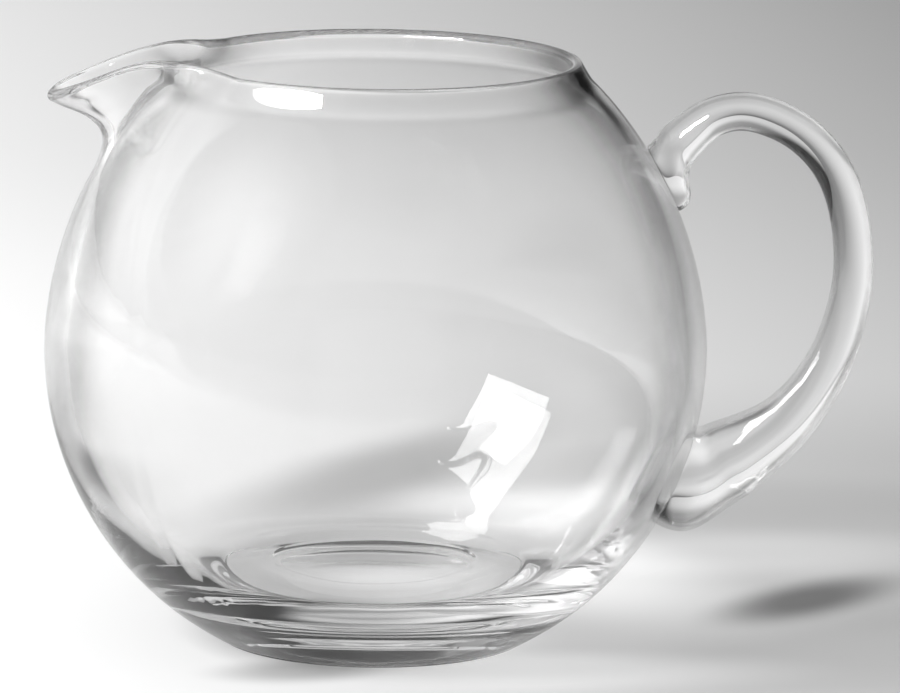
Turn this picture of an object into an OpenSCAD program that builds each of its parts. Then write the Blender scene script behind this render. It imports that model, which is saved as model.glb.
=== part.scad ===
// Round blown-glass pitcher: a globe with a thick floor, a fire-polished rim and a pulled
// pouring lip, and a solid glass handle drawn on to it.
// Origin: centre of the foot, on the table. +Z up, the lip points to -X, the handle to +X.

/* [Globe] */
// Widest outside diameter of the globe
globe_d = 180; // [160:1:210]
// Height of the rim above the table
rim_h = 159; // [145:1:185]
// Height of the widest ring above the table
belly_z = 79; // [70:1:90]
// Diameter of the mouth, along the middle of the rounded rim
mouth_d = 107; // [95:1:120]
// Diameter of the foot, where the globe meets the table
foot_d = 85; // [75:1:100]

/* [Glass] */
// Thickness of the glass at the widest ring
wall = 5.6; // [4:0.2:8]
// Thickness of the glass just below the rim
neck_wall = 3.4; // [3:0.1:5]
// Thickness of the floor at its middle
floor_t = 15.2; // [11:0.2:19]
// Diameter of the rounded rim
bead_d = 3.3; // [3:0.1:6]
// How far the inside stands off centre, away from the lip
wall_drift = 0.6; // [0:0.1:1.5]

/* [Foot] */
// Diameter of the hollow pushed up under the foot
punt_d = 58; // [40:1:64]
// Depth of that hollow
punt_depth = 2; // [1:0.5:4]
// Depth of glass ground off the foot to make it stand level
ground_off = 0.6; // [0.4:0.1:1]

/* [Pouring lip] */
// Reach of the lip's tip from the axis
lip_reach = 89.5; // [82:0.5:100]
// Width of the beak, between the middles of its two edges
beak_w = 22; // [16:1:28]
// How far the tip hangs below the rim
tip_drop = 8.6; // [4:0.2:12]
// How far the two sides of the lip stand above the rim
side_lift = 1.8; // [0:0.2:4]
// Half of the angle of rim that is drawn out
lip_angle = 42; // [36:1:50]
// Height of the fold under the lip
fold_z = 135; // [128:1:140]

/* [Handle] */
// Reach of the handle's outer side from the axis
handle_reach = 135.6; // [125:0.5:150]
// Thickness of the drawn rod
rod_d = 11; // [9:0.5:14]
// Height of the middle of the upper joint
upper_z = 126; // [118:1:130]
// Height of the middle of the lower joint
lower_z = 44.5; // [40:0.5:56]
// Height of the upper joint's seat, with its snipped tail
upper_seat_h = 18; // [14:1:22]
// Width of the upper joint's seat
upper_seat_w = 15; // [12:1:18]
// Height of the lower joint's seat
lower_seat_h = 27; // [22:1:32]
// Width of the lower joint's seat
lower_seat_w = 20; // [16:1:26]

/* [Hidden] */

// Sizes that follow from the ones above
globe_r = globe_d / 2;
mouth_r = mouth_d / 2;
foot_r = foot_d / 2;
bead_r = bead_d / 2;
bead_z = rim_h - bead_r;
punt_r = punt_d / 2;
seat_gap = 0.04;
step = wall / 28;

// Roundness of the two halves of the globe: 2 is an ellipse, less is straighter
lower_power = 1.98;
upper_power = 1.9;
half_low = belly_z / pow(1 - pow(foot_r / globe_r, lower_power), 1 / lower_power);
half_high = (bead_z - belly_z) / pow(1 - pow(mouth_r / globe_r, upper_power), 1 / upper_power);
// The wall follows the globe up to here, and then turns up into the bead
neck_z = bead_z - 1.4 * bead_d;

// Number of columns across the lip and round the rest of the globe
lip_columns = 28;
round_columns = 44;
// Rings: share of the way up each stretch
low_shares = [0, 0.04, 0.085, 0.13, 0.18, 0.235, 0.3, 0.39, 0.5, 0.62, 0.74, 0.87];
high_shares = [0, 0.15, 0.3, 0.44, 0.56, 0.65, 0.72, 0.78, 0.84, 0.9, 0.95, 1];
turn_shares = [0.35, 0.7, 1];
bead_angles = [25, 50, 75, 90, 105, 130, 155];
floor_shares = [0.8, 0.55, 0.3];
punt_shares = [0.35, 0.65, 0.88, 1.06];

// Share of the floor's extra thickness, against the share of the way from belly to foot
base_shares = [[0, 0], [0.24, 0.01], [0.39, 0.031], [0.535, 0.073], [0.67, 0.156], [0.77, 0.25],
    [0.84, 0.385], [0.873, 0.5], [0.91, 0.688], [0.94, 0.885], [0.97, 1.125], [1, 1.354]];
// Edge of the lip: share of the angle, of the reach, of the beak's width, of the flare out
// to the rim, of the lift and of the drop
lip_shares = [
    [0.00, 1.00, 0.00, 0.00, 0.00, 1.00],
    [0.10, 0.97, 0.47, 0.00, 0.00, 0.92],
    [0.20, 0.885, 0.84, 0.00, 0.02, 0.69],
    [0.32, 0.735, 0.99, 0.00, 0.12, 0.38],
    [0.44, 0.59, 1.00, 0.03, 0.50, 0.16],
    [0.56, 0.45, 1.00, 0.12, 0.84, 0.03],
    [0.68, 0.33, 1.00, 0.29, 1.00, 0.00],
    [0.80, 0.215, 1.00, 0.49, 0.83, 0.00],
    [0.90, 0.11, 1.00, 0.70, 0.40, 0.00],
    [1.00, 0.00, 1.00, 1.00, 0.00, 0.00]
];
// Middle of the rod from the upper joint to the lower one: share of the way from the belly
// out to the reach, share of the way up from the lower joint to the upper one, and the
// thickness in the handle's plane and across it as shares of the rod
handle_shares = [
    [-0.19, 1.130, 1.13, 1.16],
    [-0.04, 1.196, 1.02, 1.05],
    [0.11, 1.225, 0.98, 1.00],
    [0.25, 1.230, 0.98, 1.00],
    [0.39, 1.214, 0.98, 1.00],
    [0.54, 1.182, 0.97, 1.00],
    [0.68, 1.134, 0.97, 1.00],
    [0.81, 1.064, 0.97, 1.00],
    [0.905, 0.978, 0.97, 1.00],
    [0.965, 0.880, 0.98, 1.00],
    [0.995, 0.775, 0.99, 1.00],
    [1.00, 0.672, 1.01, 1.01],
    [0.97, 0.565, 1.05, 1.04],
    [0.89, 0.425, 1.12, 1.10],
    [0.75, 0.292, 1.25, 1.19],
    [0.56, 0.176, 1.48, 1.32],
    [0.36, 0.102, 1.80, 1.46],
    [0.18, 0.050, 2.10, 1.60]
];
rod_sides = 20;
rod_steps = 3;
root_steps = 6;
seat_shares = [0.33, 0.66];

function mix(a, b, t) = a + (b - a) * t;
function unit(v) = v / norm(v);
function ease(t) = let (c = min(1, max(0, t))) c * c * (3 - 2 * c);
function clamped(list, i) = list[min(len(list) - 1, max(0, i))];

// Smooth curve through the rows of a list, with i counted in rows
function smooth_row(rows, i) =
    let (k = min(len(rows) - 2, floor(i)), t = i - k)
    let (a = clamped(rows, k - 1), b = rows[k], c = rows[k + 1], d = clamped(rows, k + 2))
    b + (c - a) * t / 2 + (2 * a - 5 * b + 4 * c - d) * t * t / 2
      + (3 * b - a - 3 * c + d) * t * t * t / 2;
// The same, looked up by the value in each row's first column
function row_below(rows, x, k = 0) =
    k >= len(rows) - 2 || rows[k + 1][0] > x ? k : row_below(rows, x, k + 1);
function smooth_at(rows, x) =
    let (k = row_below(rows, x))
    smooth_row(rows, k + (x - rows[k][0]) / (rows[k + 1][0] - rows[k][0]));

// Outside of the globe: radius at height z, and the height at a share of each half
function outside_r(z) = z < belly_z
    ? globe_r * pow(1 - pow(min(1, (belly_z - z) / half_low), lower_power), 1 / lower_power)
    : globe_r * pow(1 - pow(min(1, (z - belly_z) / half_high), upper_power), 1 / upper_power);
foot_angle = acos(pow(foot_r / globe_r, lower_power / 2));
neck_angle = asin(pow((neck_z - belly_z) / half_high, upper_power / 2));
function low_z(s) = belly_z - half_low * pow(sin(foot_angle * (1 - s)), 2 / lower_power);
function high_z(s) = belly_z + half_high * pow(sin(neck_angle * s), 2 / upper_power);
// Outward direction of the outside, as [r, z]
function outside_dir(z) =
    let (a = max(0, z - step), b = min(neck_z, z + step))
    let (d = unit([outside_r(b) - outside_r(a), b - a]))
    [d[1], -d[0]];
function thickness(z) = z < belly_z
    ? mix(wall, floor_t, smooth_at(base_shares, (belly_z - z) / belly_z)[1])
    : mix(wall, neck_wall, ease((z - belly_z) / (neck_z - belly_z)));

// Middle of the wall as rows of [r, z, thickness]: up the globe, then the turn into the bead
function wall_row(z) =
    let (t = thickness(z), p = [outside_r(z), z] - outside_dir(z) * t / 2)
    [p[0], p[1], t];
neck_row = wall_row(neck_z);
neck_up = [-outside_dir(neck_z)[1], outside_dir(neck_z)[0]];
neck_turn = [neck_row[0], neck_row[1]] + neck_up * bead_d / 2;
function turn_row(s) =
    let (p = pow(1 - s, 2) * [neck_row[0], neck_row[1]] + 2 * s * (1 - s) * neck_turn
        + s * s * [mouth_r, bead_z])
    [p[0], p[1], mix(neck_wall, bead_d, s * s)];
wall_rows = concat(
    [for (s = low_shares) wall_row(low_z(s))],
    [for (s = high_shares) wall_row(high_z(s))],
    [for (s = turn_shares) turn_row(s)]
);

// Edge of the lip at a share of its angle: [along the lip, aside, height]
root_x = mouth_r * cos(lip_angle);
root_y = mouth_r * sin(lip_angle);
function lip_edge(s) =
    let (row = smooth_at(lip_shares, s))
    [
        mix(root_x, lip_reach - bead_r, row[1]),
        mix(beak_w / 2 * row[2], root_y, row[3]),
        bead_z + side_lift * row[4] - tip_drop * row[5]
    ];
// Height at which the lip leaves the globe, against the angle aside from its middle
fold_angle = 0.4 * lip_angle;
function leave_z(angle) = mix(fold_z, neck_z, ease(abs(angle) / fold_angle));
// Ramp with a rounded start
fold_round = 0.09;
// How far and how often the fold is softened
soften = 0.6;
soften_times = 6;
function ramp(u) = u <= 0 ? 0
    : u < 2 * fold_round ? u * u / (4 * fold_round) / (1 - fold_round)
    : (u - fold_round) / (1 - fold_round);

// Columns of points round the axis, finer across the lip, as angles from the lip's middle
lip_step = 2 * lip_angle / lip_columns;
round_step = (360 - 2 * lip_angle) / round_columns;
columns = concat(
    [for (i = [0:lip_columns - 1]) -lip_angle + i * lip_step],
    [for (i = [0:round_columns - 1]) lip_angle + i * round_step]
);
count = len(columns);

// Middle of the wall in space. aside is the column's angle from the middle of the lip, and
// the point is [along the lip, aside, height]
function middle(aside, row) =
    let (inside = abs(aside) < lip_angle)
    let (edge = inside ? lip_edge(abs(aside) / lip_angle) : [0, 0, 0])
    let (edge_angle = inside ? sign(aside) * atan2(edge[1], edge[0]) : aside)
    let (angle = mix(aside, edge_angle, ease((row[1] - belly_z) / (fold_z - belly_z))))
    let (leave = leave_z(edge_angle))
    let (g = inside ? ramp((row[1] - leave) / (bead_z - leave)) : 0)
    let (r = row[0] + g * (norm([edge[0], edge[1]]) - mouth_r))
    [r * cos(angle), r * sin(angle), row[1] + g * (edge[2] - bead_z)];
// The same for every ring and column, with the fold under the lip softened: each point moves
// part of the way to the middle of its four neighbours, and the bead and the globe stay
last_row = len(wall_rows) - 1;
function softness(i, j) = abs(columns[j]) >= lip_angle ? 0
    : ease((wall_rows[i][1] - fold_z + 2 * wall) / wall) * ease((last_row - i) / 3)
        * ease(2 * (1 - abs(columns[j]) / lip_angle));
function softened(grid, times) = times == 0 ? grid : softened([
    for (i = [0:last_row]) [
        for (j = [0:count - 1])
            let (soft = soften * softness(i, j), p = grid[i][j])
            soft == 0 ? p : mix(p, (grid[i - 1][j] + grid[i + 1][j] + grid[i][(j + 1) % count]
                + grid[i][(j + count - 1) % count]) / 4, soft)
    ]
], times - 1);
middles = softened([for (row = wall_rows) [for (c = columns) middle(c, row)]], soften_times);
// Outward direction at ring i and column j, and the direction up the wall
function up_dir(i, j) = unit(middles[min(last_row, i + 1)][j] - middles[max(0, i - 1)][j]);
function out_dir(i, j) =
    unit(cross(middles[i][(j + 1) % count] - middles[i][(j + count - 1) % count], up_dir(i, j)));

// Point of the wall: side is 1 outside and -1 inside
function wall_point(i, j, side) =
    let (drift = side < 0 ? wall_drift * (1 - i / last_row) * ease(i / last_row * 3) : 0)
    middles[i][j] + side * wall_rows[i][2] / 2 * out_dir(i, j) - [drift, 0, 0];
function bead_point(j, turn) = middles[last_row][j]
    + bead_r * (cos(turn) * out_dir(last_row, j) + sin(turn) * up_dir(last_row, j));
function ring_point(j, r, z) = [r * cos(columns[j]), r * sin(columns[j]), z];

// Floor: a shallow bowl that meets the wall's inside
function floor_point(j, s) =
    let (edge = wall_point(0, j, -1))
    [edge[0] * s, edge[1] * s, floor_t + (edge[2] - floor_t) * s * s];
// Underside before it is ground level: a shallow hollow, and a heel lower than the table
heel_z = -2 * ground_off;
heel_r = foot_r - (outside_r(-heel_z) - foot_r);
function punt_z(s) = punt_depth * (1 - s * s);

// Turns [along the lip, aside, height] to the model's axes, with the lip towards -X
function place(p) = [-p[0], p[1], p[2]];
all_columns = [0:count - 1];
rings = concat(
    [for (s = punt_shares) [for (j = all_columns) place(ring_point(j, punt_r * s, punt_z(s)))]],
    [[for (j = all_columns) place(ring_point(j, heel_r, heel_z))]],
    [for (i = [0:last_row]) [for (j = all_columns) place(wall_point(i, j, 1))]],
    [for (a = bead_angles) [for (j = all_columns) place(bead_point(j, a))]],
    [for (i = [last_row:-1:0]) [for (j = all_columns) place(wall_point(i, j, -1))]],
    [for (s = floor_shares) [for (j = all_columns) place(floor_point(j, s))]]
);

// Closes a stack of rings, each with the same count of points, with a point at both ends
module stack(rings, first, last) {
    n = len(rings[0]);
    m = len(rings);
    top = m * n + 1;
    points = concat([first], [for (ring = rings) each ring], [last]);
    faces = concat(
        [for (j = [0:n - 1]) [0, 1 + (j + 1) % n, 1 + j]],
        [for (i = [0:m - 2], j = [0:n - 1])
            let (a = 1 + i * n + j, b = 1 + i * n + (j + 1) % n)
            each [[a, b, b + n], [a, b + n, a + n]]],
        [for (j = [0:n - 1]) [top, 1 + (m - 1) * n + j, 1 + (m - 1) * n + (j + 1) % n]]
    );
    polyhedron(points, faces);
}

module globe() {
    color([0.86, 0.9, 0.92, 0.5]) difference() {
        stack(rings, [0, 0, punt_depth], [0, 0, floor_t]);
        translate([-globe_d, -globe_d, -globe_d]) cube([2 * globe_d, 2 * globe_d, globe_d]);
    }
}

// Handle: middle line in the XZ plane as [x, z, thickness, width]
function handle_row(i) =
    let (row = smooth_row(handle_shares, i))
    [
        mix(globe_r, handle_reach - rod_d / 2, row[0]),
        mix(lower_z, upper_z, row[1]),
        rod_d * row[2],
        rod_d * row[3]
    ];
row_step = 0.2;
function handle_dir(i) =
    let (n = len(handle_shares) - 1)
    let (a = handle_row(max(0, i - row_step)), b = handle_row(min(n, i + row_step)))
    unit([b[0] - a[0], 0, b[1] - a[1]]);
// Point of the rod's skin: turn 0 is the outer side, 180 the finger side
function rod_point(i, turn) =
    let (row = handle_row(i), d = handle_dir(i))
    [row[0], 0, row[1]] + row[2] / 2 * cos(turn) * [-d[2], 0, d[0]] + [0, row[3] / 2 * sin(turn), 0];
// Point of a seat on the globe. up is 1 where turn 0 is the seat's top, tail narrows one end
function seat_point(z, h, w, up, tail, turn, s) =
    let (sz = z + up * s * h / 2 * cos(turn))
    let (sy = s * w / 2 * sin(turn) * (1 - tail * (1 - cos(turn)) / 2))
    let (r = outside_r(sz) + seat_gap)
    [sqrt(r * r - sy * sy), sy, sz];
function seat_dir(p) =
    let (d = outside_dir(p[2]))
    unit([d[0] * p[0] / norm([p[0], p[1]]), d[0] * p[1] / norm([p[0], p[1]]), d[1]]);
// Curve from a point of the seat to a point of the rod, leaving the glass square to it
root_pull = 1.5;
function root_point(seat, rod, dir, t) =
    let (l = root_pull * norm(rod - seat))
    let (a = l * seat_dir(seat), b = l * dir)
    (2 * t * t * t - 3 * t * t + 1) * seat + (t * t * t - 2 * t * t + t) * a
        + (3 * t * t - 2 * t * t * t) * rod + (t * t * t - t * t) * b;
tail_share = 0.45;
function upper_seat(turn, s) = seat_point(upper_z, upper_seat_h, upper_seat_w, 1, tail_share, turn, s);
function lower_seat(turn, s) = seat_point(lower_z, lower_seat_h, lower_seat_w, -1, 0, turn, s);

turns = [for (j = [0:rod_sides - 1]) j * 360 / rod_sides];
rod_last = len(handle_shares) - 1;
rod_rings = concat(
    [for (s = seat_shares) [for (a = turns) upper_seat(a, s)]],
    [for (k = [0:root_steps - 1]) [for (a = turns)
        root_point(upper_seat(a, 1), rod_point(0, a), handle_dir(0), k / root_steps)]],
    [for (k = [0:rod_last * rod_steps]) [for (a = turns) rod_point(k / rod_steps, a)]],
    [for (k = [root_steps - 1:-1:0]) [for (a = turns)
        root_point(lower_seat(a, 1), rod_point(rod_last, a), -handle_dir(rod_last), k / root_steps)]],
    [for (s = [seat_shares[1], seat_shares[0]]) [for (a = turns) lower_seat(a, s)]]
);

module handle() {
    color([0.8, 0.84, 0.87, 0.6])
        stack(rod_rings, upper_seat(0, 0), lower_seat(0, 0));
}

globe();
handle();
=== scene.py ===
# Hand-blown glass pitcher: globe with a thick floor, rim bead and pulled lip, and a drawn handle
import math
import bpy
import numpy as np
from mathutils import Matrix, Vector


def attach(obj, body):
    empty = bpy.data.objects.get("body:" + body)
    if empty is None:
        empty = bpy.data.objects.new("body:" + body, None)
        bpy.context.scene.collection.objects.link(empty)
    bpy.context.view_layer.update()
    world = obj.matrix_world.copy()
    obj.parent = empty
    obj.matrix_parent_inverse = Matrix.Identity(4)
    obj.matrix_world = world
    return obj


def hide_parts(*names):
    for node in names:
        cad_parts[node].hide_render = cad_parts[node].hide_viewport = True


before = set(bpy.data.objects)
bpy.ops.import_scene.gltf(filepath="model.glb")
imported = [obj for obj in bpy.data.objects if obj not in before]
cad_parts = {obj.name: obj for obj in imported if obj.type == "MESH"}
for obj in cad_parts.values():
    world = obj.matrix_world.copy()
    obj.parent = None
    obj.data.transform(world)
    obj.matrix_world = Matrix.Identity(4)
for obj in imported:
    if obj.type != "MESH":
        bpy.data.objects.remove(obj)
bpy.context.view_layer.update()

mm = 0.001


def mix(a, b, t):
    return a + (b - a) * t


def ease(t):
    t = np.clip(t, 0, 1)
    return t * t * (3 - 2 * t)


def unit(v):
    return v / np.linalg.norm(v, axis=-1, keepdims=True)


def smoothRow(rows, i):
    # smooth curve through the rows of a table, with i counted in rows
    rows = np.asarray(rows, float)
    k = min(len(rows) - 2, int(i))
    t = i - k
    a, b, c, d = (rows[min(len(rows) - 1, max(0, k + n))] for n in (-1, 0, 1, 2))
    bend = (2 * a - 5 * b + 4 * c - d) * t * t / 2
    return b + (c - a) * t / 2 + bend + (3 * b - a - 3 * c + d) * t ** 3 / 2


def smoothAt(rows, x):
    # the same, looked up by the first column
    k = max(n for n in range(len(rows) - 1) if rows[n][0] <= max(x, rows[0][0]))
    return smoothRow(rows, k + (x - rows[k][0]) / (rows[k + 1][0] - rows[k][0]))


def throughPoints(rings, times=4):
    # pushes a cage outwards so that its smooth surface passes through the points given
    cage = rings.copy()
    for _ in range(times):
        around = (np.roll(cage, 1, 1) + 4 * cage + np.roll(cage, -1, 1)) / 6
        limit = around.copy()
        limit[1:-1] = (around[:-2] + 4 * around[1:-1] + around[2:]) / 6
        cage += rings - limit
    return cage


def facesOutwards(points, faces):
    # the signed volume of the fans of all faces is positive when they face outwards
    volume = 0
    for f in faces:
        for n in range(1, len(f) - 1):
            volume += np.dot(points[f[0]], np.cross(points[f[n]], points[f[n + 1]]))
    return volume > 0


def closedMesh(name, rings, first, last):
    # mesh of quads through rings of points, with a point at both ends
    count, across = rings.shape[:2]
    points = np.concatenate([[first], rings.reshape(-1, 3), [last]])
    top = len(points) - 1
    faces = [(0, 1 + (j + 1) % across, 1 + j) for j in range(across)]
    for i in range(count - 1):
        for j in range(across):
            a = 1 + i * across + j
            b = 1 + i * across + (j + 1) % across
            faces.append((a, b, b + across, a + across))
    start = 1 + (count - 1) * across
    faces += [(top, start + j, start + (j + 1) % across) for j in range(across)]
    if not facesOutwards(points, faces):
        faces = [f[::-1] for f in faces]
    mesh = bpy.data.meshes.new(name)
    mesh.from_pydata(points.tolist(), [], faces)
    mesh.validate()
    mesh.shade_smooth()
    piece = bpy.data.objects.new(name, mesh)
    bpy.context.scene.collection.objects.link(piece)
    return piece


def markPoints(piece, name, *spans):
    # attribute that is 1 on the given spans of points
    marks = np.zeros(len(piece.data.vertices), np.float32)
    for start, end in spans:
        marks[start:end] = 1
    piece.data.attributes.new(name, "FLOAT", "POINT").data.foreach_set("value", marks)


def smoothPiece(piece, levels):
    rounded = piece.modifiers.new("smooth", "SUBSURF")
    rounded.levels = levels
    rounded.render_levels = levels


# Globe

globeForm = {
    "diameter": 180 * mm,
    "rimHeight": 159 * mm,
    "bellyHeight": 79 * mm,
    "mouth": 107 * mm,          # along the middle of the bead
    "foot": 85 * mm,
    "wall": 5.6 * mm,           # at the belly
    "neckWall": 3.4 * mm,
    "floor": 15.2 * mm,
    "floorRing": 56 * mm,       # faint round step in the floor
    "ringStep": 0.35 * mm,
    "ringSoft": 0.7 * mm,
    "bead": 3.3 * mm,
    "beadRun": 1.4,             # where the wall turns into the bead, in beads below it
    "drift": 0.6 * mm,          # the inside stands off centre, away from the lip
    "driftRise": 3,             # comes in over the lowest third, fades out towards the rim
    "punt": 58 * mm,
    "puntDepth": 2 * mm,
    "heelRound": 0.9 * mm,
    "lowPower": 1.98,           # 2 is an ellipse
    "highPower": 1.9,
    "lipReach": 89.5 * mm,
    "lipWidth": 22 * mm,
    "lipDrop": 8.6 * mm,
    "lipLift": 1.8 * mm,
    "lipAngle": 42.0,           # half of the drawn rim, degrees
    "lipFold": 135 * mm,        # height where the lip leaves the globe
    "foldRound": 0.09,
    "foldSide": 0.4,            # share of the angle over which the fold rises to the neck
    "soften": 0.6,
    "softenTimes": 14,
    "softenRows": 5,            # it comes in over these rows below the bead
    "lipColumns": 40,
    "roundColumns": 56,
    "smoothLevels": 2,
}

# Rings of points: foot to belly, belly to neck, neck to bead
lowShares = [0, 0.04, 0.08, 0.125, 0.17, 0.215, 0.27, 0.34, 0.43, 0.53, 0.64, 0.76, 0.88]
highShares = [0, 0.11, 0.22, 0.33, 0.43, 0.52, 0.6, 0.67, 0.73, 0.785, 0.835, 0.88, 0.92, 0.955, 0.98, 1]
turnShares = [0.35, 0.68, 1]
beadAngles = [25, 50, 75, 90, 105, 130, 155]     # over the bead, from outside to inside
floorShares = [0.94, 0.88, 0.856, 0.842, 0.828, 0.814, 0.8, 0.76, 0.68, 0.56, 0.4, 0.2]
puntShares = [0.2, 0.4, 0.6, 0.78, 0.92, 0.98, 0.997]
standShares = [0.01, 0.06, 0.2, 0.45, 0.75, 0.94]     # flat ring that the foot stands on
heelRings = [[-0.3, 0.12], [0.1, 0.55]]     # round the heel: outwards and up, in heel rounds

# Extra thickness of the floor against the share of the way from belly to foot
baseShares = [
    [0, 0], [0.24, 0.01], [0.39, 0.031], [0.535, 0.073], [0.67, 0.156], [0.77, 0.25],
    [0.84, 0.385], [0.873, 0.5], [0.91, 0.688], [0.94, 0.885], [0.97, 1.125], [1, 1.354],
]
# Edge of the lip: share of the angle, reach, beak width, flare to the rim, lift, drop
lipShares = [
    [0.00, 1.00, 0.00, 0.00, 0.00, 1.00],
    [0.10, 0.97, 0.47, 0.00, 0.00, 0.92],
    [0.20, 0.885, 0.84, 0.00, 0.02, 0.69],
    [0.32, 0.735, 0.99, 0.00, 0.12, 0.38],
    [0.44, 0.59, 1.00, 0.03, 0.50, 0.16],
    [0.56, 0.45, 1.00, 0.12, 0.84, 0.03],
    [0.68, 0.33, 1.00, 0.29, 1.00, 0.00],
    [0.80, 0.215, 1.00, 0.49, 0.83, 0.00],
    [0.90, 0.11, 1.00, 0.70, 0.40, 0.00],
    [1.00, 0.00, 1.00, 1.00, 0.00, 0.00],
]

g = globeForm
globeRadius = g["diameter"] / 2
mouthRadius = g["mouth"] / 2
footRadius = g["foot"] / 2
beadRadius = g["bead"] / 2
beadHeight = g["rimHeight"] - beadRadius
bellyHeight = g["bellyHeight"]
neckHeight = beadHeight - g["beadRun"] * g["bead"]
lipAngle = g["lipAngle"]
rootX = mouthRadius * math.cos(math.radians(lipAngle))
rootY = mouthRadius * math.sin(math.radians(lipAngle))
probe = 0.2 * mm     # step for the slope of the outside


def outlineHalf(height, radius, power):
    # half height of the full curve that narrows to this radius at this height
    return height / (1 - (radius / globeRadius) ** power) ** (1 / power)


halfLow = outlineHalf(bellyHeight, footRadius, g["lowPower"])
halfHigh = outlineHalf(beadHeight - bellyHeight, mouthRadius, g["highPower"])


def outsideRadius(z):
    low = z < bellyHeight
    power = np.where(low, g["lowPower"], g["highPower"])
    half = np.where(low, halfLow, halfHigh)
    return globeRadius * (1 - np.minimum(1, np.abs(z - bellyHeight) / half) ** power) ** (1 / power)


def outsideDirection(z):
    a = max(0, z - probe)
    b = min(neckHeight, z + probe)
    d = unit(np.array([outsideRadius(b) - outsideRadius(a), b - a]))
    return np.array([d[1], -d[0]])


def thicknessAt(z):
    if z < bellyHeight:
        return mix(g["wall"], g["floor"], smoothAt(baseShares, (bellyHeight - z) / bellyHeight)[1])
    return mix(g["wall"], g["neckWall"], ease((z - bellyHeight) / (neckHeight - bellyHeight)))


def wallRow(z):
    p = np.array([outsideRadius(z), z]) - outsideDirection(z) * thicknessAt(z) / 2
    return [p[0], p[1], thicknessAt(z)]


def wallRows():
    # middle of the wall as rows of radius, height and thickness, up to the bead
    footAngle = math.acos((footRadius / globeRadius) ** (g["lowPower"] / 2))
    neckAngle = math.asin(((neckHeight - bellyHeight) / halfHigh) ** (g["highPower"] / 2))
    low = [bellyHeight - halfLow * math.sin(footAngle * (1 - s)) ** (2 / g["lowPower"]) for s in lowShares]
    high = [bellyHeight + halfHigh * math.sin(neckAngle * s) ** (2 / g["highPower"]) for s in highShares]
    rows = [wallRow(max(z, 0)) for z in low + high]
    neck = np.array(rows[-1][:2])
    out = outsideDirection(neckHeight)
    turn = neck + np.array([-out[1], out[0]]) * g["bead"] / 2
    end = np.array([mouthRadius, beadHeight])
    for s in turnShares:
        p = neck * (1 - s) ** 2 + 2 * s * (1 - s) * turn + s * s * end
        rows.append([p[0], p[1], mix(g["neckWall"], g["bead"], s * s)])
    return rows


def lipEdge(s):
    row = smoothAt(lipShares, s)
    return (
        mix(rootX, g["lipReach"] - beadRadius, row[1]),
        mix(g["lipWidth"] / 2 * row[2], rootY, row[3]),
        beadHeight + g["lipLift"] * row[4] - g["lipDrop"] * row[5],
    )


def foldRamp(u):
    # straight ramp from 0 to 1 that starts with a short bend
    r = g["foldRound"]
    if u <= 0:
        return 0
    if u < 2 * r:
        return u * u / (4 * r) / (1 - r)
    return (u - r) / (1 - r)


def wallMiddle(aside, row):
    # point in the middle of the wall, drawn out to the lip above the fold
    inLip = abs(aside) < lipAngle
    edge = lipEdge(abs(aside) / lipAngle) if inLip else (0, 0, 0)
    edgeAngle = math.copysign(math.degrees(math.atan2(edge[1], edge[0])), aside) if inLip else aside
    angle = mix(aside, edgeAngle, ease((row[1] - bellyHeight) / (g["lipFold"] - bellyHeight)))
    leave = mix(g["lipFold"], neckHeight, ease(abs(edgeAngle) / (g["foldSide"] * lipAngle)))
    share = foldRamp((row[1] - leave) / (beadHeight - leave)) if inLip else 0
    r = row[0] + share * (math.hypot(edge[0], edge[1]) - mouthRadius)
    a = math.radians(angle)
    return [r * math.cos(a), r * math.sin(a), row[1] + share * (edge[2] - beadHeight)]


def softenFold(grid, rows, columns):
    # the fold under the lip is drawn glass, so it has no crease
    last = len(rows) - 1
    heights = np.array([r[1] for r in rows])
    fold = ease((heights - g["lipFold"] + 2 * g["wall"]) / g["wall"])
    rim = ease((last - np.arange(last + 1)) / g["softenRows"])
    side = np.where(np.abs(columns) < lipAngle, ease(2 * (1 - np.abs(columns) / lipAngle)), 0)
    weight = (g["soften"] * (fold * rim)[:, None] * side)[1:-1, :, None]
    for _ in range(g["softenTimes"]):
        mean = (grid[:-2] + grid[2:] + np.roll(grid, 1, 1)[1:-1] + np.roll(grid, -1, 1)[1:-1]) / 4
        grid[1:-1] = mix(grid[1:-1], mean, weight)
    return grid


def wallRings(columns, rows):
    # outside and inside of the wall, and the bead that joins them
    last = len(rows) - 1
    middles = np.array([[wallMiddle(c, row) for c in columns] for row in rows])
    middles = softenFold(middles, rows, columns)
    up = np.empty_like(middles)
    up[1:-1] = middles[2:] - middles[:-2]
    up[0] = middles[1] - middles[0]
    up[-1] = middles[-1] - middles[-2]
    up = unit(up)
    out = unit(np.cross(np.roll(middles, -1, 1) - np.roll(middles, 1, 1), up))
    half = np.array([r[2] for r in rows])[:, None, None] / 2
    outside = middles + out * half
    inside = middles - out * half
    share = np.arange(last + 1) / last
    inside[:, :, 0] -= (g["drift"] * (1 - share) * ease(share * g["driftRise"]))[:, None]
    bead = [middles[-1] + beadRadius * (math.cos(a) * out[-1] + math.sin(a) * up[-1])
            for a in np.radians(beadAngles)]
    return outside, bead, inside


def levelRing(columns, radius, height):
    a = np.radians(columns)
    return np.column_stack([np.cos(a) * radius, np.sin(a) * radius, np.full(len(a), float(height))])


def heelRing(columns, k):
    out, up = heelRings[k]
    return levelRing(columns, footRadius + g["heelRound"] * out, g["heelRound"] * up)


def underRings(columns):
    # hollow of the foot, then the ring that it stands on
    punt = g["punt"] / 2
    rings = [levelRing(columns, punt * s, g["puntDepth"] * (1 - s * s)) for s in puntShares]
    rings += [levelRing(columns, mix(punt, footRadius - g["heelRound"], s), 0) for s in standShares]
    return rings + [heelRing(columns, 0)]


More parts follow.
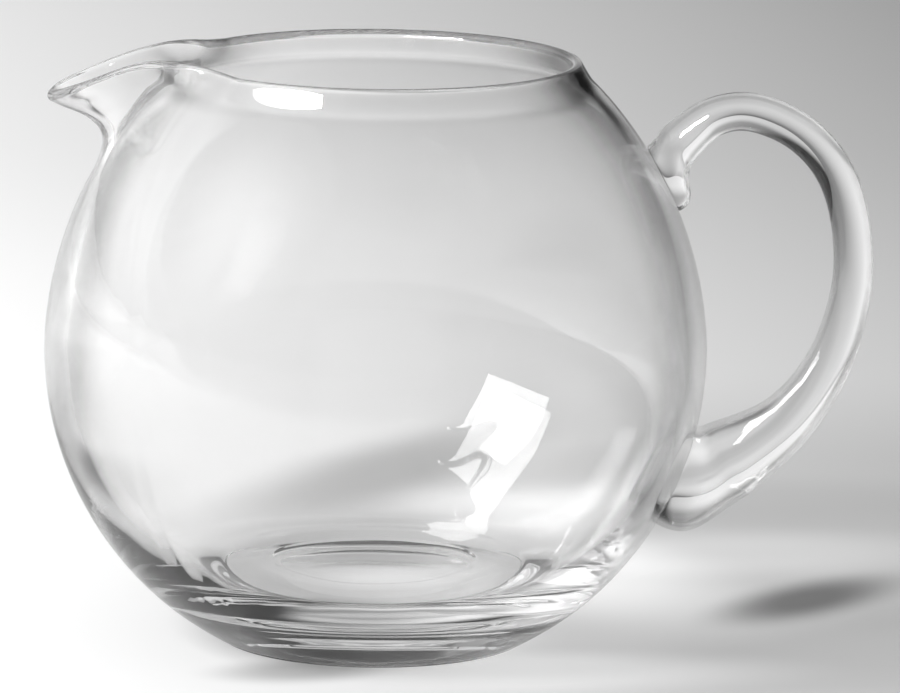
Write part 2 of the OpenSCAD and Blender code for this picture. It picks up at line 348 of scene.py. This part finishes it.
def floorRings(edge):
    # upper face of the floor from its edge inwards
    rings = []
    for s in floorShares:
        fromStep = (np.hypot(edge[:, 0], edge[:, 1]) * s - g["floorRing"] / 2) / g["ringSoft"]
        z = g["floor"] + (edge[:, 2] - g["floor"]) * s ** 2 - g["ringStep"] * ease(0.5 - fromStep / 2)
        rings.append(np.column_stack([edge[:, :2] * s, z]))
    return rings


def globeRings():
    lipStep = 2 * lipAngle / g["lipColumns"]
    roundStep = (360 - 2 * lipAngle) / g["roundColumns"]
    columns = np.array([-lipAngle + i * lipStep for i in range(g["lipColumns"])]
                       + [lipAngle + i * roundStep for i in range(g["roundColumns"])])
    rows = wallRows()
    outside, bead, inside = wallRings(columns, rows)
    outside[0] = heelRing(columns, 1)
    under = underRings(columns)
    rings = np.concatenate([under, outside, bead, inside[::-1], floorRings(inside[0])])
    rings = throughPoints(rings)
    rings[:, :, 0] *= -1     # the lip is shaped towards +x and stands towards -x
    return rings, len(under), len(under) + len(rows)


def buildGlobe():
    rings, firstWall, pastWall = globeRings()
    piece = closedMesh("globe_glass", rings, (0, 0, g["puntDepth"]), (0, 0, g["floor"] - g["ringStep"]))
    across = rings.shape[1]
    markPoints(piece, "outerSkin", (1 + firstWall * across, 1 + pastWall * across))
    smoothPiece(piece, g["smoothLevels"])
    return piece


# Handle

handleForm = {
    "reach": 135.6 * mm,
    "rod": 11 * mm,
    "upperHeight": 126 * mm,
    "lowerHeight": 44.5 * mm,
    "upperSeat": (18 * mm, 15 * mm),   # height, width
    "lowerSeat": (27 * mm, 20 * mm),
    "tail": 0.45,                      # how far the upper seat narrows downwards
    "rootPull": 1.5,                   # how far both ends keep square to the globe
    "rootSteps": 7,
    "sides": 24,
    "smoothLevels": 3,
}

seatShares = [0.3, 0.6, 0.82, 0.94]
# Middle of the rod: share out from the belly, share up from the lower joint, thickness, width
rodShares = [
    [-0.19, 1.130, 1.13, 1.16],
    [-0.04, 1.196, 1.02, 1.05],
    [0.11, 1.225, 0.98, 1.00],
    [0.25, 1.230, 0.98, 1.00],
    [0.39, 1.214, 0.98, 1.00],
    [0.54, 1.182, 0.97, 1.00],
    [0.68, 1.134, 0.97, 1.00],
    [0.81, 1.064, 0.97, 1.00],
    [0.905, 0.978, 0.97, 1.00],
    [0.965, 0.880, 0.98, 1.00],
    [0.995, 0.775, 0.99, 1.00],
    [1.00, 0.672, 1.01, 1.01],
    [0.97, 0.565, 1.05, 1.04],
    [0.89, 0.425, 1.12, 1.10],
    [0.75, 0.292, 1.25, 1.19],
    [0.56, 0.176, 1.48, 1.32],
    [0.36, 0.102, 1.80, 1.46],
    [0.18, 0.050, 2.10, 1.60],
]

h = handleForm
probeRows = 0.2     # step along the rod for its direction


def rodRow(i):
    row = smoothRow(rodShares, i)
    return (mix(globeRadius, h["reach"] - h["rod"] / 2, row[0]),
            mix(h["lowerHeight"], h["upperHeight"], row[1]), h["rod"] * row[2], h["rod"] * row[3])


def rodDirection(i):
    a = rodRow(max(0, i - probeRows))
    b = rodRow(min(len(rodShares) - 1, i + probeRows))
    return unit(np.array([b[0] - a[0], 0, b[1] - a[1]]))


def rodPoint(i, turn):
    row = rodRow(i)
    d = rodDirection(i)
    middle = np.array([row[0], 0, row[1]])
    return (middle + row[2] / 2 * math.cos(turn) * np.array([-d[2], 0, d[0]])
            + np.array([0, row[3] / 2 * math.sin(turn), 0]))


def seatPoint(height, seat, up, tail, turn, s):
    # point on the globe's outside, at share s of the way to the seat's outline
    z = height + up * s * seat[0] / 2 * math.cos(turn)
    y = s * seat[1] / 2 * math.sin(turn) * (1 - tail * (1 - math.cos(turn)) / 2)
    return np.array([math.sqrt(float(outsideRadius(z)) ** 2 - y * y), y, z])


def upperSeat(turn, s):
    return seatPoint(h["upperHeight"], h["upperSeat"], 1, h["tail"], turn, s)


def lowerSeat(turn, s):
    return seatPoint(h["lowerHeight"], h["lowerSeat"], -1, 0, turn, s)


def seatDirection(p):
    d = outsideDirection(p[2])
    r = math.hypot(p[0], p[1])
    return np.array([d[0] * p[0] / r, d[0] * p[1] / r, d[1]])


def rootPoint(seat, rod, direction, t):
    # curve from the seat to the rod that leaves the globe square to it
    pull = h["rootPull"] * np.linalg.norm(rod - seat)
    return ((2 * t ** 3 - 3 * t * t + 1) * seat + (t ** 3 - 2 * t * t + t) * pull * seatDirection(seat)
            + (3 * t * t - 2 * t ** 3) * rod + (t ** 3 - t * t) * pull * direction)


def handleRings():
    turns = [2 * math.pi * j / h["sides"] for j in range(h["sides"])]
    last = len(rodShares) - 1
    steps = h["rootSteps"]
    start = rodDirection(0)
    end = -rodDirection(last)
    rings = [[upperSeat(a, s) for a in turns] for s in seatShares]
    for k in range(steps):
        rings.append([rootPoint(upperSeat(a, 1), rodPoint(0, a), start, k / steps) for a in turns])
    for k in range(last * 2 + 1):
        rings.append([rodPoint(k / 2, a) for a in turns])
    for k in range(steps - 1, -1, -1):
        rings.append([rootPoint(lowerSeat(a, 1), rodPoint(last, a), end, k / steps) for a in turns])
    rings += [[lowerSeat(a, s) for a in turns] for s in seatShares[::-1]]
    return np.array(rings), upperSeat(0, 0), lowerSeat(0, 0)


def buildHandle():
    rings, first, last = handleRings()
    piece = closedMesh("handle_glass", rings, first, last)
    seatPoints = 1 + len(seatShares) * rings.shape[1]
    markPoints(piece, "seat", (0, seatPoints), (-seatPoints, None))
    smoothPiece(piece, h["smoothLevels"])
    return piece


globe = buildGlobe()
handle = buildHandle()
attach(globe, "root")
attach(handle, "root")
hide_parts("globe")
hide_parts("handle")
print("stage: glass built")


# Nodes. A range holds from and to, and the values at the one and at the other

def newMaterial(name):
    material = bpy.data.materials.new(name)
    material.use_nodes = True
    tree = material.node_tree
    tree.nodes.clear()
    return material, tree, tree.nodes.new("ShaderNodeOutputMaterial")


def feed(tree, socket, value):
    if isinstance(value, (int, float)):
        socket.default_value = value
    else:
        tree.links.new(value, socket)


def mathNode(tree, operation, a, b=None):
    n = tree.nodes.new("ShaderNodeMath")
    n.operation = operation
    feed(tree, n.inputs[0], a)
    if b is not None:
        feed(tree, n.inputs[1], b)
    return n.outputs[0]


def product(tree, first, *others):
    for other in others:
        first = mathNode(tree, "MULTIPLY", first, other)
    return first


def oneMinus(tree, value):
    return mathNode(tree, "SUBTRACT", 1, value)


def sumOfSquares(tree, u, v):
    return mathNode(tree, "ADD", product(tree, u, u), product(tree, v, v))


def mapRange(tree, value, span, kind="LINEAR"):
    n = tree.nodes.new("ShaderNodeMapRange")
    n.interpolation_type = kind
    for socket, number in zip(n.inputs[1:5], span):
        socket.default_value = number
    tree.links.new(value, n.inputs[0])
    return n.outputs[0]


def softRange(tree, value, span):
    return mapRange(tree, value, span, "SMOOTHSTEP")


def mixValue(tree, share, a, b):
    n = tree.nodes.new("ShaderNodeMix")
    n.data_type = "FLOAT"
    for socket, value in zip((n.inputs[0], n.inputs[2], n.inputs[3]), (share, a, b)):
        feed(tree, socket, value)
    return n.outputs[0]


def splitVector(tree, vector):
    parts = tree.nodes.new("ShaderNodeSeparateXYZ")
    tree.links.new(vector, parts.inputs[0])
    return parts.outputs


def worldPosition(tree):
    return tree.nodes.new("ShaderNodeNewGeometry").outputs["Position"]


def attributeValue(tree, name):
    n = tree.nodes.new("ShaderNodeAttribute")
    n.attribute_name = name
    return n.outputs["Fac"]


def newGroup(name, vectors, numbers, result):
    group = bpy.data.node_groups.new(name, "ShaderNodeTree")
    for socket in vectors:
        group.interface.new_socket(name=socket, in_out="INPUT", socket_type="NodeSocketVector")
    for socket in numbers:
        group.interface.new_socket(name=socket, in_out="INPUT", socket_type="NodeSocketFloat")
    group.interface.new_socket(name=result, in_out="OUTPUT", socket_type="NodeSocketFloat")
    return group, group.nodes.new("NodeGroupInput").outputs


def closeGroup(group, value):
    group.links.new(value, group.nodes.new("NodeGroupOutput").inputs[0])
    return group


def useGroup(tree, group, linked, numbers):
    n = tree.nodes.new("ShaderNodeGroup")
    n.node_tree = group
    for name, value in linked.items():
        tree.links.new(value, n.inputs[name])
    for name, value in numbers.items():
        n.inputs[name].default_value = value
    return n.outputs[0]


# Glass

glassForm = {
    "index": 1.5,
    "waveDepth": 0.06 * mm,
    "ringStretch": (0.25, 0.25, 1),
    "chillScale": 420,
    "seatMargin": 0.4 * mm,                 # the globe's skin reaches this far under the handle
    "clearEdge": 0.96,                      # what passes unbent through the soft edges
    "clearShadow": (0.2, 1, 0.97, 0.45),    # and on its way to the floor, by the angle
}
globeLook = {
    "surface": {"Swell Scale": 42, "Ring Scale": 130, "Ring Share": 0.22, "Chill Share": 0.004},
    # share of the view behind that shows unbent near the outlines
    "softFacing": (0.5, 0.8, 0, 0.65),
    "softHeight": (40 * mm, 75 * mm, 0, 1),
    "softSide": (45 * mm, 75 * mm, 0, 1),
    "softBelow": (130 * mm, 150 * mm, 1, 0),
}
handleLook = {
    "surface": {"Swell Scale": 70, "Ring Scale": 160, "Ring Share": 0.3, "Chill Share": 0.004},
    "softFacing": (0.15, 0.5, 0, 0.8),
    "softHeight": (85 * mm, 120 * mm, 1, 0.35),
}
# Painted shade in the glass's colour, at the rim, the lip and the handle's upper end
paintedShadeForm = {
    # by height, side and angle
    "rim": ((149 * mm, 153 * mm, 0, 1), (-66 * mm, -55 * mm, 0, 1), (0.25, 0.7, 0, 0.9)),
    "lip": ((142 * mm, 147 * mm, 0, 1), (-55 * mm, -66 * mm, 0, 1), (0.5, 0.85, 0, 0.85)),
    # at the handle's upper end, by distance from its middle
    "jointMiddle": (71.6 * mm, -4 * mm, 133.5 * mm),
    "joint": (1.5 * mm, 4.5 * mm, 0.85, 0),
}


def fusedSeatGroup():
    # 1 inside the outline of a seat, where handle and globe are one glass
    group, given = newGroup("fusedSeat", ["Position"],
                            ["Height", "Half Height", "Half Width", "Tail"], "Mask")
    x, y, z = splitVector(group, given["Position"])
    u = mathNode(group, "DIVIDE", mathNode(group, "SUBTRACT", z, given["Height"]), given["Half Height"])
    narrow = product(group, given["Tail"], oneMinus(group, u), 0.5)
    width = product(group, given["Half Width"], oneMinus(group, narrow))
    v = mathNode(group, "DIVIDE", y, width)
    inside = mathNode(group, "LESS_THAN", sumOfSquares(group, u, v), 1)
    return closeGroup(group, product(group, inside, mathNode(group, "GREATER_THAN", x, 0)))


def globeSeats(tree):
    # the globe's skin ends where the handle grows out of it
    group = fusedSeatGroup()
    position = worldPosition(tree)
    seats = ((h["upperHeight"], h["upperSeat"], h["tail"]), (h["lowerHeight"], h["lowerSeat"], 0))
    masks = []
    for height, size, tail in seats:
        masks.append(useGroup(tree, group, {"Position": position}, {
            "Height": height,
            "Half Height": size[0] / 2 - glassForm["seatMargin"],
            "Half Width": size[1] / 2 - glassForm["seatMargin"],
            "Tail": tail,
        }))
    skin = mathNode(tree, "GREATER_THAN", attributeValue(tree, "outerSkin"), 0.5)
    return product(tree, mathNode(tree, "MAXIMUM", *masks), skin)


def handleSeats(tree):
    # the handle has no skin on its seats
    return mathNode(tree, "GREATER_THAN", attributeValue(tree, "seat"), 0.5)


def noiseHeight(tree, vector, scale, detail):
    n = tree.nodes.new("ShaderNodeTexNoise")
    n.inputs["Detail"].default_value = detail
    tree.links.new(vector, n.inputs["Vector"])
    feed(tree, n.inputs["Scale"], scale)
    return n.outputs["Fac"]


def blownSurfaceGroup():
    # slow swells of blown glass, with faint rings left by turning and finer chill marks
    group, given = newGroup("blownSurface", ["Position"],
                            ["Swell Scale", "Ring Scale", "Ring Share", "Chill Share"], "Height")
    stretch = group.nodes.new("ShaderNodeVectorMath")
    stretch.operation = "MULTIPLY"
    stretch.inputs[1].default_value = glassForm["ringStretch"]
    group.links.new(given["Position"], stretch.inputs[0])
    swell = noiseHeight(group, given["Position"], given["Swell Scale"], 1)
    ring = noiseHeight(group, stretch.outputs[0], given["Ring Scale"], 1)
    chill = noiseHeight(group, given["Position"], glassForm["chillScale"], 0)
    height = mathNode(group, "ADD", swell, product(group, ring, given["Ring Share"]))
    height = mathNode(group, "ADD", height, product(group, chill, given["Chill Share"]))
    return closeGroup(group, height)


blownSurface = blownSurfaceGroup()


def addSurface(tree, shader, values):
    place = tree.nodes.new("ShaderNodeTexCoord")
    bump = tree.nodes.new("ShaderNodeBump")
    bump.inputs["Distance"].default_value = glassForm["waveDepth"]
    height = useGroup(tree, blownSurface, {"Position": place.outputs["Object"]}, values)
    tree.links.new(height, bump.inputs["Height"])
    tree.links.new(bump.outputs["Normal"], shader.inputs["Normal"])


def paintedGlassShade(tree, position, facing):
    # painted shade: the fire-polished rim and the lip are darkened towards their outlines, for the dark
    # room that they would show
    x, _, z = splitVector(tree, position)
    edges = []
    for height, side, angle in (paintedShadeForm["rim"], paintedShadeForm["lip"]):
        edges.append(product(tree, softRange(tree, z, height), softRange(tree, x, side),
                             softRange(tree, facing, angle)))
    # and painted shade on a small place at the handle's upper end, for the dark refraction seen there
    away = tree.nodes.new("ShaderNodeVectorMath")
    away.operation = "DISTANCE"
    away.inputs[1].default_value = paintedShadeForm["jointMiddle"]
    tree.links.new(position, away.inputs[0])
    joint = mapRange(tree, away.outputs["Value"], paintedShadeForm["joint"])
    return mathNode(tree, "MAXIMUM", mathNode(tree, "MAXIMUM", *edges), joint)


def softEdge(tree, position, facing, look):
    x, _, z = splitVector(tree, position)
    level = softRange(tree, z, look["softHeight"])
    if "softSide" in look:
        level = mathNode(tree, "MAXIMUM", level, softRange(tree, x, look["softSide"]))
    if "softBelow" in look:
        level = product(tree, level, softRange(tree, z, look["softBelow"]))
    return product(tree, softRange(tree, facing, look["softFacing"]), level)


def glassMaterial(name, look, seats):
    material, tree, out = newMaterial(name)
    shader = tree.nodes.new("ShaderNodeBsdfPrincipled")
    shader.inputs["Roughness"].default_value = 0
    shader.inputs["IOR"].default_value = glassForm["index"]
    shader.inputs["Transmission Weight"].default_value = 1
    position = worldPosition(tree)
    weight = tree.nodes.new("ShaderNodeLayerWeight")
    weight.inputs["Blend"].default_value = 0.5
    facing = weight.outputs["Facing"]
    tree.links.new(oneMinus(tree, seats(tree)), shader.inputs["Alpha"])
    addSurface(tree, shader, look["surface"])
    # the painted shade darkens the glass's colour
    tree.links.new(oneMinus(tree, paintedGlassShade(tree, position, facing)), shader.inputs["Base Color"])
    # light passes to the floor unbent, and near the outlines so does part of the view
    path = tree.nodes.new("ShaderNodeLightPath")
    both = mathNode(tree, "MAXIMUM", path.outputs["Is Shadow Ray"], path.outputs["Is Diffuse Ray"])
    soft = softEdge(tree, position, facing, look)
    clear = tree.nodes.new("ShaderNodeBsdfTransparent")
    shade = mapRange(tree, facing, glassForm["clearShadow"])
    tree.links.new(mixValue(tree, both, glassForm["clearEdge"], shade), clear.inputs["Color"])
    pick = tree.nodes.new("ShaderNodeMixShader")
    tree.links.new(mathNode(tree, "MAXIMUM", both, soft), pick.inputs[0])
    tree.links.new(shader.outputs[0], pick.inputs[1])
    tree.links.new(clear.outputs[0], pick.inputs[2])
    tree.links.new(pick.outputs[0], out.inputs["Surface"])
    return material


globe.data.materials.append(glassMaterial("blownGlass", globeLook, globeSeats))
handle.data.materials.append(glassMaterial("drawnGlass", handleLook, handleSeats))
print("stage: materials")


# Floor

floorForm = {
    "half": 8.0,
    "gap": 0.2 * mm,                       # keeps the foot clear of the floor
    # painted light falloff: the floor's colour is darker towards the handle and a little darker far behind
    "across": (-0.11, 0.42, 1.0, 0.345),   # darker towards the handle
    "away": (0.4, 0.85, 1, 0.92),
    # painted shade near the handle
    "shadeSide": (0.02, 0.1, 0, 0.18),     # less light near the handle
    "shadeAway": (0.22, 0.38, 1, 0),
    "spotSoft": (0.1, 1, 1, 0),            # spots fade from their middle outwards
}
# Painted reflections: only in reflections the floor ends like a table, in front and to the right
paintedReflectionForm = {
    "front": (-0.41, -0.31, 0, 1),
    "right": (0.9, 1.7, 1, 0),
    "light": (0, 1, 0.2, 0.75),            # beyond the table and on it
    "left": (-0.5, -0.2, 1.3, 1),          # brighter beyond the lip's side
    "behind": (0.4, 0.6, 1, 1.7),          # and behind it
    "behindSide": (-0.3, -0.15, 1, 0),
    # painted dark reflection: a spot that is dark only when mirrored inside the glass
    "footDark": ((-0.138, 0.03), (0.14, 0.046), 90.0, -0.9),
}
# Painted light and shade that the glass would throw on the floor: middle, half sizes, turn in degrees,
# change
paintedFloorLight = {
    "diagonal shade": ((0.014, 0.163), (0.165, 0.045), 61.0, -0.42),
    "far shade": ((0.12, 0.17), (0.14, 0.05), 0.0, -0.08),
    "bright pool": ((0.060, 0.075), (0.10, 0.06), -66.0, 0.5),
    "light streak": ((0.115, 0.100), (0.11, 0.045), 0.0, 0.32),
    "front pool": ((0.046, -0.046), (0.09, 0.034), 0.0, 0.4),
    "dark shadow spot": ((0.1245, 0.040), (0.056, 0.024), 48.0, -0.66),
    "under the foot": ((0.012, -0.006), (0.042, 0.038), 0.0, 0.5),
    "foot shade": ((-0.022, -0.044), (0.034, 0.02), 10.0, -0.42),
}


def onlyFor(piece, glossy=False, transmission=False, diffuse=False, shadow=False):
    piece.visible_camera = False
    piece.visible_diffuse = diffuse
    piece.visible_glossy = glossy
    piece.visible_transmission = transmission
    piece.visible_shadow = shadow
    piece.visible_volume_scatter = False


def flatSquare(name, half, z=0):
    corners = [(-half, -half, z), (half, -half, z), (half, half, z), (-half, half, z)]
    mesh = bpy.data.meshes.new(name)
    mesh.from_pydata(corners, [], [(0, 1, 2, 3)])
    piece = bpy.data.objects.new(name, mesh)
    bpy.context.scene.collection.objects.link(piece)
    return piece


def softSpotGroup():
    # soft ellipse on the floor: 1 in its middle, 0 from its edge outwards
    group, given = newGroup("softSpot", [],
                            ["X", "Y", "Middle X", "Middle Y", "Length", "Width", "Turn"], "Mask")
    dx = mathNode(group, "SUBTRACT", given["X"], given["Middle X"])
    dy = mathNode(group, "SUBTRACT", given["Y"], given["Middle Y"])
    cosine = mathNode(group, "COSINE", given["Turn"])
    sine = mathNode(group, "SINE", given["Turn"])
    along = mathNode(group, "ADD", product(group, dx, cosine), product(group, dy, sine))
    aside = mathNode(group, "SUBTRACT", product(group, dy, cosine), product(group, dx, sine))
    u = mathNode(group, "DIVIDE", along, given["Length"])
    v = mathNode(group, "DIVIDE", aside, given["Width"])
    away = mathNode(group, "SQRT", sumOfSquares(group, u, v))
    return closeGroup(group, mapRange(group, away, floorForm["spotSoft"], "SMOOTHERSTEP"))


def spotFactor(tree, group, x, y, spot, *masks):
    # what a spot of painted light or shade does to the floor's tone
    middle, size, turn, change = spot
    values = zip(("Middle X", "Middle Y", "Length", "Width", "Turn"), (*middle, *size, math.radians(turn)))
    mask = useGroup(tree, group, {"X": x, "Y": y}, dict(values))
    return mathNode(tree, "ADD", product(tree, mask, *masks, change), 1)


def buildFloor():
    f = floorForm
    floor = flatSquare("floor", f["half"], -f["gap"])
    material, tree, out = newMaterial("studioFloor")
    shader = tree.nodes.new("ShaderNodeBsdfPrincipled")
    shader.inputs["Roughness"].default_value = 1
    shader.inputs["Specular IOR Level"].default_value = 0
    x, y, _ = splitVector(tree, worldPosition(tree))
    # painted light falloff and painted shade near the handle, in the floor's colour
    tone = product(tree, mapRange(tree, x, f["across"]), softRange(tree, y, f["away"]))
    near = product(tree, softRange(tree, x, f["shadeSide"]), softRange(tree, y, f["shadeAway"]))
    tone = product(tree, tone, oneMinus(tree, near))
    group = softSpotGroup()
    # painted shadows and pools of light from the glass
    for spot in paintedFloorLight.values():
        tone = product(tree, tone, spotFactor(tree, group, x, y, spot))
    path = tree.nodes.new("ShaderNodeLightPath")
    # painted reflections: the floor's colour changes for rays that were mirrored
    mirrored = mathNode(tree, "GREATER_THAN", path.outputs["Glossy Depth"], 0.5)
    inside = mathNode(tree, "GREATER_THAN", path.outputs["Transmission Depth"], 0.5)
    t = paintedReflectionForm
    tone = product(tree, tone, spotFactor(tree, group, x, y, t["footDark"], inside, mirrored))
    table = product(tree, mapRange(tree, y, t["front"]), mapRange(tree, x, t["right"]))
    behind = mixValue(tree, mapRange(tree, x, t["behindSide"]), 1, softRange(tree, y, t["behind"]))
    light = product(tree, mapRange(tree, table, t["light"]), softRange(tree, x, t["left"]), behind)
    tone = product(tree, tone, mixValue(tree, mirrored, 1, light))
    tree.links.new(tone, shader.inputs["Base Color"])
    tree.links.new(shader.outputs[0], out.inputs["Surface"])
    floor.data.materials.append(material)


# Lights: soft key from the lip's side with a card and a scrim, and small lamps for single highlights

keyForm = {
    "direction": (-0.74, -0.32, 0.59),
    "distance": 3.0,
    "size": 1.8,
    "power": 100.0,
    "cardSize": 1.62,
    "cardGlow": 16.0,
}
scrimForm = {
    "distance": 2.6,                   # on the key's axis, in front of its card
    "radius": 1.75,
    "glow": (0, 0.85, 1.6, 0.3),       # from the middle outwards
    "cover": (0.88, 1, 1, 0),
    "deepest": 2.5,                    # gone for rays that crossed more faces of glass
}
stripForm = {
    # middle line of the strip lamps, about two fingers' breadth from the handle's lower bend
    "line": ((102.5 * mm, -13.5 * mm, 82.5 * mm), (99 * mm, -10 * mm, 81.5 * mm),
             (97 * mm, -9.5 * mm, 79.5 * mm), (97.5 * mm, -19 * mm, 72.5 * mm),
             (97.5 * mm, -25.5 * mm, 63.5 * mm)),
    "widths": (6 * mm, 6 * mm, 4 * mm, 2 * mm),
    "aim": (108 * mm, -5 * mm, 63 * mm),
    "glow": 14.0,
    "spread": 180.0,                   # degrees
}
panelForms = {
    # bright patch on the neck
    "neckPanel": {
        "middle": (-52.5 * mm, -45 * mm, 170.5 * mm),
        "along": (0.76, -0.64, 0.11),
        "aim": (-37 * mm, -44 * mm, 167 * mm),
        "size": (62 * mm, 3 * mm),
        "glow": 50.0,
        "spread": 85.0,
    },
    # highlight on the handle's upper bend
    "shoulderPanel": {
        "middle": (78 * mm, -31.5 * mm, 156 * mm),
        "along": (0.98, 0.0, 0.2),
        "aim": (85.5 * mm, -6 * mm, 142 * mm),
        "size": (16 * mm, 9 * mm),
        "glow": 12.0,
        "spread": 60.0,
    },
}


def hangBefore(piece, distance):
    # hangs a piece on the key's axis, facing the pitcher
    toKey = Vector(keyForm["direction"]).normalized()
    piece.location = toKey * distance
    piece.rotation_mode = "QUATERNION"
    piece.rotation_quaternion = (-toKey).to_track_quat("-Z", "Y")


def buildKey():
    f = keyForm
    data = bpy.data.lights.new("key", "AREA")
    data.size = f["size"]
    data.energy = f["power"]
    lamp = bpy.data.objects.new("key", data)
    bpy.context.scene.collection.objects.link(lamp)
    onlyFor(lamp, diffuse=True, shadow=True)
    card = flatSquare("keyCard", f["cardSize"] / 2)
    material, tree, out = newMaterial("keyCardGlow")
    glow = tree.nodes.new("ShaderNodeEmission")
    glow.inputs["Strength"].default_value = f["cardGlow"]
    tree.links.new(glow.outputs[0], out.inputs["Surface"])
    card.data.materials.append(material)
    onlyFor(card, glossy=True, transmission=True)
    hangBefore(lamp, f["distance"])
    hangBefore(card, f["distance"])


def buildScrim():
    # wide diffuser before the key: the key shows in the globe's front as a soft glow
    f = scrimForm
    scrim = flatSquare("scrim", f["radius"])
    hangBefore(scrim, f["distance"])
    material, tree, out = newMaterial("scrimCloth")
    glow = tree.nodes.new("ShaderNodeEmission")
    clear = tree.nodes.new("ShaderNodeBsdfTransparent")
    pick = tree.nodes.new("ShaderNodeMixShader")
    place = tree.nodes.new("ShaderNodeTexCoord")
    far = tree.nodes.new("ShaderNodeVectorMath")
    far.operation = "LENGTH"
    tree.links.new(place.outputs["Object"], far.inputs[0])
    outward = mathNode(tree, "DIVIDE", far.outputs["Value"], f["radius"])
    path = tree.nodes.new("ShaderNodeLightPath")
    early = mathNode(tree, "LESS_THAN", path.outputs["Transmission Depth"], f["deepest"])
    tree.links.new(softRange(tree, outward, f["glow"]), glow.inputs["Strength"])
    tree.links.new(product(tree, softRange(tree, outward, f["cover"]), early), pick.inputs[0])
    tree.links.new(clear.outputs[0], pick.inputs[1])
    tree.links.new(glow.outputs[0], pick.inputs[2])
    tree.links.new(pick.outputs[0], out.inputs["Surface"])
    scrim.data.materials.append(material)
    onlyFor(scrim, glossy=True, transmission=True)


def mirroredLamp(name, middle, along, aim, size, glow, spread):
    # one-sided lamp that is seen only where the glass mirrors it
    away = middle - aim
    away -= away.project(along)
    data = bpy.data.lights.new(name, "AREA")
    data.shape = "RECTANGLE"
    data.size, data.size_y = size
    data.energy = glow * math.pi * data.size * data.size_y
    data.spread = math.radians(spread)
    lamp = bpy.data.objects.new(name, data)
    bpy.context.scene.collection.objects.link(lamp)
    x, z = along.normalized(), away.normalized()
    turn = Matrix((x, z.cross(x), z)).transposed()
    lamp.matrix_world = Matrix.Translation(middle) @ turn.to_4x4()
    onlyFor(lamp, glossy=True)


def buildHighlights():
    f = stripForm
    line = [Vector(point) for point in f["line"]]
    for k, (start, end, width) in enumerate(zip(line, line[1:], f["widths"])):
        mirroredLamp(f"strip{k}", (start + end) / 2, end - start, Vector(f["aim"]),
                     ((end - start).length, width), f["glow"], f["spread"])
    for name, p in panelForms.items():
        mirroredLamp(name, Vector(p["middle"]), Vector(p["along"]), Vector(p["aim"]), p["size"],
                     p["glow"], p["spread"])


# Room round the table, by the direction's x, y and z

roomForm = {
    "ambient": 0.48,                   # lights the floor besides the key
    "dark": 0.02,
    "wall": (-0.5, 0.3, 1.15, 0.55),   # from the lip's side to behind
    "side": (0.26, 0.42, 1, 0),        # dark towards the handle
    "top": (0.62, 0.84, 1, 0),         # dark ceiling
    "front": (-0.55, 0.05, 0.3, 1),
    "left": (-0.5, -0.3, 1, 0),        # the wall at the lip's side is dark low down
    "leftUp": (0.04, 0.24, 0.3, 1),
    "behind": (0.7, 0.9, 0, 1),        # the wall behind is darker higher up
    "behindUp": (0.08, 0.3, 1, 0.45),
}


def buildWorld():
    f = roomForm
    world = bpy.data.worlds.new("studioRoom")
    bpy.context.scene.world = world
    world.use_nodes = True
    tree = world.node_tree
    back = tree.nodes["Background"]
    across, away, up = splitVector(tree, tree.nodes.new("ShaderNodeTexCoord").outputs["Generated"])
    lit = product(tree, softRange(tree, across, f["side"]), softRange(tree, up, f["top"]),
                  softRange(tree, away, f["front"]))
    low = mixValue(tree, softRange(tree, across, f["left"]), 1, softRange(tree, up, f["leftUp"]))
    high = mixValue(tree, softRange(tree, away, f["behind"]), 1, softRange(tree, up, f["behindUp"]))
    wall = product(tree, mapRange(tree, across, f["wall"]), low, high)
    room = mixValue(tree, lit, f["dark"], wall)
    path = tree.nodes.new("ShaderNodeLightPath")
    level = mixValue(tree, path.outputs["Is Diffuse Ray"], room, f["ambient"])
    tree.links.new(level, back.inputs["Color"])
    back.inputs["Strength"].default_value = 1


# Camera: stands off to the lip's side and looks slightly down

view = {
    "distance": 2.0,
    "aimHeight": 80 * mm,
    "turn": -3.6,           # degrees round the pitcher, towards the lip
    "elevation": 10.96,     # degrees
    "roll": 0.71,           # degrees
    "frameWidth": 900,      # pixels
    "frameHeight": 693,
    "focalPixels": 7356,
    "centreAcross": 375.6,  # pixels, where the aim point falls
    "centreDown": 345.6,
    "sensor": 36.0,
    "clip": (0.05, 100),
}


def buildCamera():
    data = bpy.data.cameras.new("camera")
    data.sensor_fit = "HORIZONTAL"
    data.sensor_width = view["sensor"]
    data.lens = view["focalPixels"] / view["frameWidth"] * view["sensor"]
    data.shift_x = (view["frameWidth"] / 2 - view["centreAcross"]) / view["frameWidth"]
    data.shift_y = (view["centreDown"] - view["frameHeight"] / 2) / view["frameWidth"]
    data.clip_start, data.clip_end = view["clip"]
    camera = bpy.data.objects.new("camera", data)
    bpy.context.scene.collection.objects.link(camera)
    turn = math.radians(view["turn"])
    up = math.radians(view["elevation"])
    back = Vector((math.sin(turn) * math.cos(up), -math.cos(turn) * math.cos(up), math.sin(up)))
    camera.location = Vector((0, 0, view["aimHeight"])) + back * view["distance"]
    camera.rotation_mode = "QUATERNION"
    roll = Matrix.Rotation(math.radians(view["roll"]), 3, "Z").to_quaternion()
    camera.rotation_quaternion = (-back).to_track_quat("-Z", "Y") @ roll
    bpy.context.scene.camera = camera


buildFloor()
buildKey()
buildHighlights()
buildScrim()
buildWorld()
buildCamera()

bounces = {
    "glass": 48,     # the base of the globe bends light many times
    "clear": 32,
}

scene = bpy.context.scene
scene.view_settings.view_transform = "Standard"
scene.cycles.max_bounces = bounces["glass"]
scene.cycles.transmission_bounces = bounces["glass"]
scene.cycles.glossy_bounces = bounces["glass"]
scene.cycles.transparent_max_bounces = bounces["clear"]
scene.cycles.blur_glossy = 0
print("stage: studio")
